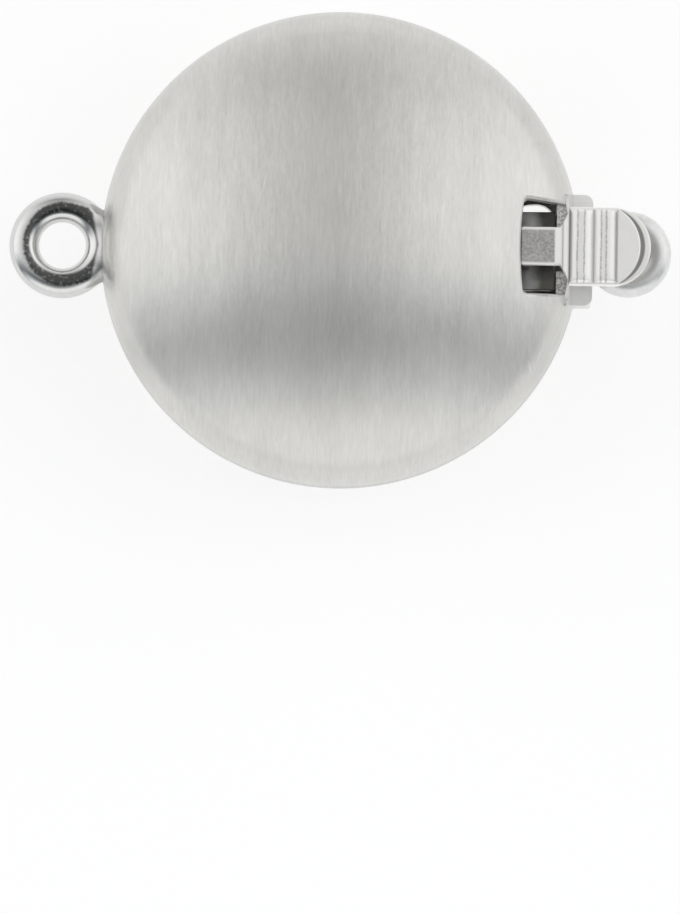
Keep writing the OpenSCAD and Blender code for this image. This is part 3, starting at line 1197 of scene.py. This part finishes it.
def fillet_rings(rim, flow, steps=8):
    """Sections of the solder in the corner between the case and the sleeve."""
    oval = Oval(CASE_R, MID_Z, rim)
    rings = []
    for y, z, ny, nz in sleeve_outline():
        rho = oval.rim_x + math.sqrt(oval.rim ** 2 - z ** 2)
        corner = np.array([math.sqrt(rho ** 2 - y ** 2), y, z])
        dome = np.array([corner[0] / rho * (rho - oval.rim_x), y / rho * (rho - oval.rim_x), z])
        dome /= np.linalg.norm(dome)
        out = np.array([0.0, ny, nz])
        along_dome = out - np.array([1.0, 0, 0]) * (dome @ out) / dome[0]
        along_dome /= np.linalg.norm(along_dome)
        start = corner + along_dome * flow
        facing, away = oval.normal(start[None])
        start = start - facing[0] * (away[0] + 0.006)
        end = corner + np.array([flow, 0, 0]) - out * 0.006
        section = [start * (1 - t) ** 2 + corner * 2 * t * (1 - t) + end * t ** 2
                   for t in np.linspace(0, 1, steps)]
        section.append(corner - out * 0.08 - dome * 0.05)
        rings.append(np.array(section))
    return rings


def sleeve_softness(start, end):
    """The sleeve's long outer corners are round, and its other edges soft."""
    run, middle = np.abs(end - start), np.abs(start + end) / 2
    along_x = run[0] > 0.9 * np.linalg.norm(run)
    outer_corner = middle[1] > 1.55 and middle[2] > 0.95
    return 1.0 if along_x and outer_corner else 0.25


class CLASP_OT_mouth_sleeve(ClaspOperator, bpy.types.Operator):
    """Makes the box-shaped sleeve in the case's mouth"""

    bl_idname = "clasp.mouth_sleeve"
    bl_label = "Mouth sleeve"

    def execute(self, context):
        rim = context.scene.clasp_sizes.rim / MM
        sleeve = bevelled_copy("sleeve_box", "mouth_sleeve", SLEEVE_R, 5, sleeve_softness)
        finish_piece(sleeve, "case", "satin_silver", satin_silver, "mouth_sleeve")
        solder = shape("sleeve_solder", *rings_mesh(fillet_rings(rim, flow=0.12)))
        finish_piece(solder, "case", "brushed_silver", brushed_silver, "case")
        return self.done(sleeve, solder)


class CLASP_OT_tongue(ClaspOperator, bpy.types.Operator):
    """Makes the lower leaf with its fold, the ring's seat and the ring"""

    bl_idname = "clasp.tongue"
    bl_label = "Tongue"

    def execute(self, context):
        t = context.scene.clasp_sizes.strip / MM
        low, lifted = FOLD_Z - FOLD_R, 90 + math.degrees(LEAF_RISE)
        fold = [on_fold(FOLD_R, a) for a in np.linspace(lifted, 270, 25)]
        inner = [on_fold(FOLD_R - t, a) for a in np.linspace(270, lifted, 13)]
        side = np.array([(LEAF_END, low), (LEAF_END, low + t), (FOLD_X, low + t)] + inner
                        + fold + [(FOLD_X, low)])
        leaf = slab("lower_leaf", turned_prism(side, LEAF_W, soft=0.03))
        plan = round_outline(SEAT_START, SEAT_END, SEAT_W, r=0.06, steps=4)
        seat = slab("ring_seat", soft_prism(plan, low, 0.0, soft=0.05))

        def seat_distance(points):
            return box_distance(points, (SEAT_START, -SEAT_W / 2, low),
                                (SEAT_END - 0.045, SEAT_W / 2, 0.0))

        ring = wire_ring("tongue_ring", TONGUE_X, TONGUE_R, TONGUE_WIRE_R, seat_distance,
                         flow=0.16)
        finish_piece(leaf, "tongue", "spring_silver", spring_silver, "tongue")
        finish_piece(seat, "tongue", "polished_silver", satin_wire, "tongue")
        finish_piece(ring, "tongue", "polished_silver", satin_wire, "tongue")
        return self.done(leaf, seat, ring)


def on_fold(r, angle):
    """A point on the fold, in X and height."""
    a = math.radians(angle)
    return (FOLD_X + r * math.cos(a), FOLD_Z + r * math.sin(a))


def turned_prism(side, width, soft):
    """Rings of a slab whose outline is given from the side, in X and Z."""
    if np.cross(side, np.roll(side, -1, axis=0)).sum() < 0:
        side = side[::-1]
    rings = soft_prism(side, -width / 2, width / 2, soft)
    return [ring[:, [0, 2, 1]] for ring in rings]


class CLASP_OT_spring_leaf(ClaspOperator, bpy.types.Operator):
    """Makes the upper leaf, which springs up from the fold"""

    bl_idname = "clasp.spring_leaf"
    bl_label = "Spring leaf"

    def execute(self, context):
        leaf = bevelled_copy("upper_leaf", "spring_leaf", 0.03)
        finish_piece(leaf, "thumb_lever", "spring_silver", spring_silver, "spring_leaf")
        return self.done(leaf)


class CLASP_OT_thumb_tab(ClaspOperator, bpy.types.Operator):
    """Makes the thumb tab: its bent foot, its sheet and its smooth end"""

    bl_idname = "clasp.thumb_tab"
    bl_label = "Thumb tab"

    def execute(self, context):
        pad = round_ended(PAD_START - 0.04, PAD_END, PAD_W, PAD_R)
        boss = round_ended(BOSS_X - 0.02, BOSS_END, BOSS_W, BOSS_R)
        made = [
            slab("tab_foot", strip_rings(context.scene.clasp_sizes.strip / MM)),
            slab("tab_sheet", soft_prism(pad, PAD_Z - 0.3, PAD_Z + 0.02, soft=0.09)),
            slab("tab_end", soft_prism(boss, PAD_Z - 0.05, PAD_Z + 0.15, soft=0.05,
                                       soft_low=0.0)),
        ]
        for piece in made:
            finish_piece(piece, "thumb_lever", "tab_silver", tab_silver, "thumb_tab")
        return self.done(*made)


class CLASP_OT_ribs(ClaspOperator, bpy.types.Operator):
    """Makes the half-round ribs across the thumb tab"""

    bl_idname = "clasp.ribs"
    bl_label = "Ribs"

    def execute(self, context):
        sizes = context.scene.clasp_sizes
        group = build_rib_tree()
        holder = link("rib_holder", bpy.data.meshes.new("rib_holder"))
        mod = holder.modifiers.new("Ribs", "NODES")
        mod.node_group = group
        given = {
            "Count": sizes.rib_count, "Pitch": sizes.rib_pitch, "Width": sizes.rib_width,
            "Height": sizes.rib_height, "Length": RIB_LENGTH * MM, "Start": RIB_START * MM,
            "Base": (PAD_Z + MID_Z) * MM, "Sink": RIB_SINK * MM,
            "Finish": shared(tab_silver),
        }
        for item in group.interface.items_tree:
            if item.in_out == "INPUT":
                mod[item.identifier] = given[item.name]
        graph = bpy.context.evaluated_depsgraph_get()
        mesh = bpy.data.meshes.new_from_object(holder.evaluated_get(graph))
        bpy.data.objects.remove(holder)
        mesh.name = "tab_ribs"
        mesh.shade_smooth()
        ribs = link("tab_ribs", mesh)
        if not mesh.polygons:
            raise RuntimeError("The rib tree made nothing")
        finish_piece(ribs, "thumb_lever", "tab_silver", tab_silver, "thumb_tab")
        return self.done(ribs)


# -------------------------------------------------------------------- stage


def tent_world(studio):
    """A white light tent with soft darker panels, given by direction."""
    world = bpy.data.worlds.new("light_tent")
    world.use_nodes = True
    tree = Tree(world.node_tree)
    way = tree.vector("NORMALIZE", tree.add("ShaderNodeTexCoord").outputs["Generated"])
    dx, dy, dz = tree.split(way)
    # Angles from straight up: lean turns to +Y, and swing and tip bend to +X and +Y
    lean = dy.atan2(dz) * (180 / math.pi)
    swing = dx.asin() * (180 / math.pi)
    tip = dy.asin() * (180 / math.pi)
    # A panel's middle, half width and softness, in degrees, each way
    gap = swing.band(-4.6, 15.4, 100.0) * lean.band(11.6, 61.9, 20.0)
    front = tip.band(-23.5, 12.4, 29.3) * swing.band(0.0, 75.6, 30.0)
    back = tip.band(71.0, 21.7, 16.0) * swing.band(0.0, 66.4, 30.0)
    # The tent's two ends are a little darker too
    ends = (1.0 - lean.rise(40.0, 50.0) * 0.139) * (1.0 - lean.fall(-40.0, 50.0) * 0.211)
    level = ((1.0 - gap * studio.gap) * (1.0 - front * studio.front)
             * (1.0 - back * studio.back) * ends * studio.tent)
    # The front panel is a little cooler than the tent
    cool = tree.blend(front, WHITE, (0.90, 0.95, 1.0, 1.0))
    glow = tree.add("ShaderNodeBackground", None, cool, level)
    tree.add("ShaderNodeOutputWorld", None, glow)
    bpy.context.scene.world = world


def make_floor(studio):
    """A pale floor that a little light comes through."""
    half = 1500.0
    corners = [(-half, -half, -MID_Z), (half, -half, -MID_Z),
               (half, half, -MID_Z), (-half, half, -MID_Z)]
    floor = shape("floor", corners, [(0, 1, 2, 3)])
    material, tree, place = new_material("floor_white")
    skin = tree.shade(tree.noise(place, 0.02), studio.floor_colour, 0.99, 1.01)
    # The glow fades well outside the picture, as a light table's does
    far = tree.num(tree.vector("LENGTH", place)).rise(40.0, 50.0)
    glow = tree.blend(far, WHITE, (0.55, 0.55, 0.55, 1.0))
    metal_output(tree, Base_Color=skin, Roughness=0.8,
                 Emission_Color=glow, Emission_Strength=studio.floor_glow)
    floor.data.materials.append(material)
    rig.stage(floor)


def make_camera(studio):
    """A long lens over the clasp, tilted towards its lower edge."""
    scale = PX_PER_MM / MM
    camera = bpy.data.cameras.new("camera")
    camera.sensor_width = 36.0
    camera.lens = camera.sensor_width * studio.distance * scale / PICTURE_H
    eye = bpy.data.objects.new("camera", camera)
    bpy.context.scene.collection.objects.link(eye)
    tilt, roll = math.radians(CAMERA_TILT), math.radians(CAMERA_ROLL)
    away = Vector((0.0, -math.sin(tilt), math.cos(tilt)))
    middle = Vector((0.0, 0.0, MID_Z * MM))
    place = middle + away * studio.distance
    # The lens looks a little past the clasp, so that it sits high in the frame
    dx = (CLASP_PX[0] - PICTURE_W / 2) / scale / studio.distance
    dy = (PICTURE_H / 2 - CLASP_PX[1]) / scale / studio.distance
    base = away.to_track_quat("Z", "Y").to_matrix()
    base = base @ Matrix.Rotation(roll, 3, "Z")
    spot = Vector((dx, dy, -1.0)).normalized()
    straight = Vector((0.0, 0.0, -1.0))
    turn = spot.rotation_difference(straight).to_matrix()
    eye.matrix_world = Matrix.Translation(place) @ (base @ turn).to_4x4()
    camera.clip_start, camera.clip_end = 0.01, 10.0
    bpy.context.scene.camera = eye


class CLASP_OT_stage(ClaspOperator, bpy.types.Operator):
    """Sets up the pale floor, the light tent and the camera"""

    bl_idname = "clasp.stage"
    bl_label = "Stage"

    def execute(self, context):
        studio = context.scene.clasp_studio
        make_floor(studio)
        tent_world(studio)
        make_camera(studio)
        context.scene.view_settings.view_transform = "Standard"
        return {"FINISHED"}


OPERATORS = (CLASP_OT_case, CLASP_OT_eye_ring, CLASP_OT_mouth_sleeve, CLASP_OT_tongue,
             CLASP_OT_spring_leaf, CLASP_OT_thumb_tab, CLASP_OT_ribs, CLASP_OT_stage)


class CLASP_PT_sidebar(bpy.types.Panel):
    """Lists the clasp's pieces and their sizes"""

    bl_idname = "CLASP_PT_sidebar"
    bl_label = "Box Clasp"
    bl_space_type = "VIEW_3D"
    bl_region_type = "UI"
    bl_category = "Clasp"

    def draw(self, context):
        for name, group in GROUPS.items():
            box = self.layout.box()
            for prop in group.__annotations__:
                box.prop(getattr(context.scene, name), prop)
        for operator in OPERATORS:
            self.layout.operator(operator.bl_idname)


def register():
    for cls in (*GROUPS.values(), *OPERATORS, CLASP_PT_sidebar):
        bpy.utils.register_class(cls)
    for name, group in GROUPS.items():
        setattr(bpy.types.Scene, name, bpy.props.PointerProperty(type=group))


def unregister():
    for name in GROUPS:
        delattr(bpy.types.Scene, name)
    for cls in (CLASP_PT_sidebar, *reversed(OPERATORS), *reversed(list(GROUPS.values()))):
        bpy.utils.unregister_class(cls)


def main():
    register()
    for operator in OPERATORS:
        group, name = operator.bl_idname.split(".")
        getattr(getattr(bpy.ops, group), name)()
    final = [list(corner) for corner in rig.bounds()]
    with open("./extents.json", "w") as out:
        json.dump({"cad": CAD_BOX, "visual": final}, out)


if __name__ == "__main__":
    main()
